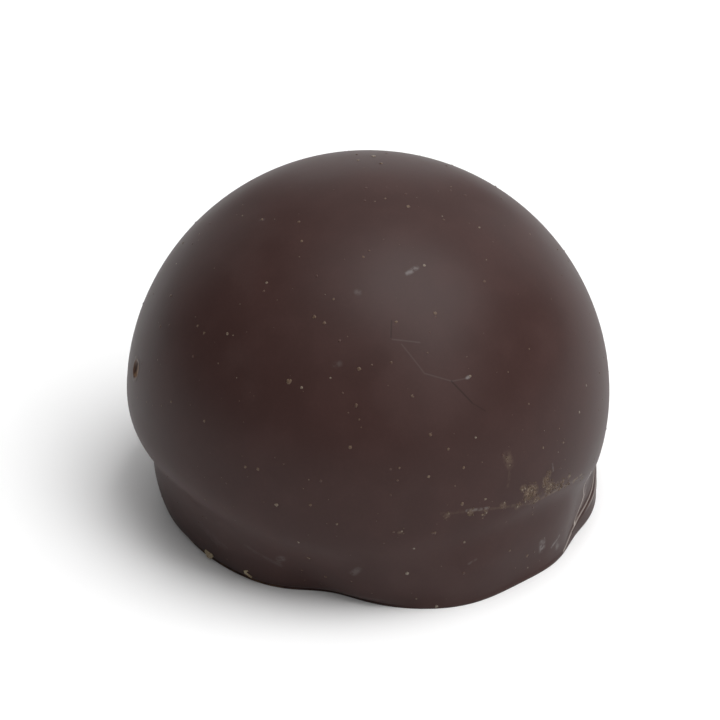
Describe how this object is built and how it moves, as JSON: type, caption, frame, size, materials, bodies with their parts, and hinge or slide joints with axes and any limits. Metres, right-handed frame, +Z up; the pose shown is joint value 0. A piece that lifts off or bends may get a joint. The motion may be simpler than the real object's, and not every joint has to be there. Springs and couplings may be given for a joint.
{
  "type": "chocolate praline",
  "caption": "Dark chocolate praline: a smooth round dome on a low, uneven poured foot with a shallow groove between them and a flat sole.",
  "frame": {"origin": "on the table, at the middle of the bounding box's base, straight under the middle of the dome", "axes": "+Z up, along the shortest extent, from the flat sole to the top of the dome; -Y is the front; the run-out skirt of the foot is on the +X side"},
  "size_m": [0.03, 0.03, 0.0223],
  "materials": {
    "dark_chocolate": "satin dark chocolate coat with a faint bloom"
  },
  "bodies": {
    "root": {"praline_body": "dark_chocolate"}
  },
  "joints": []
}
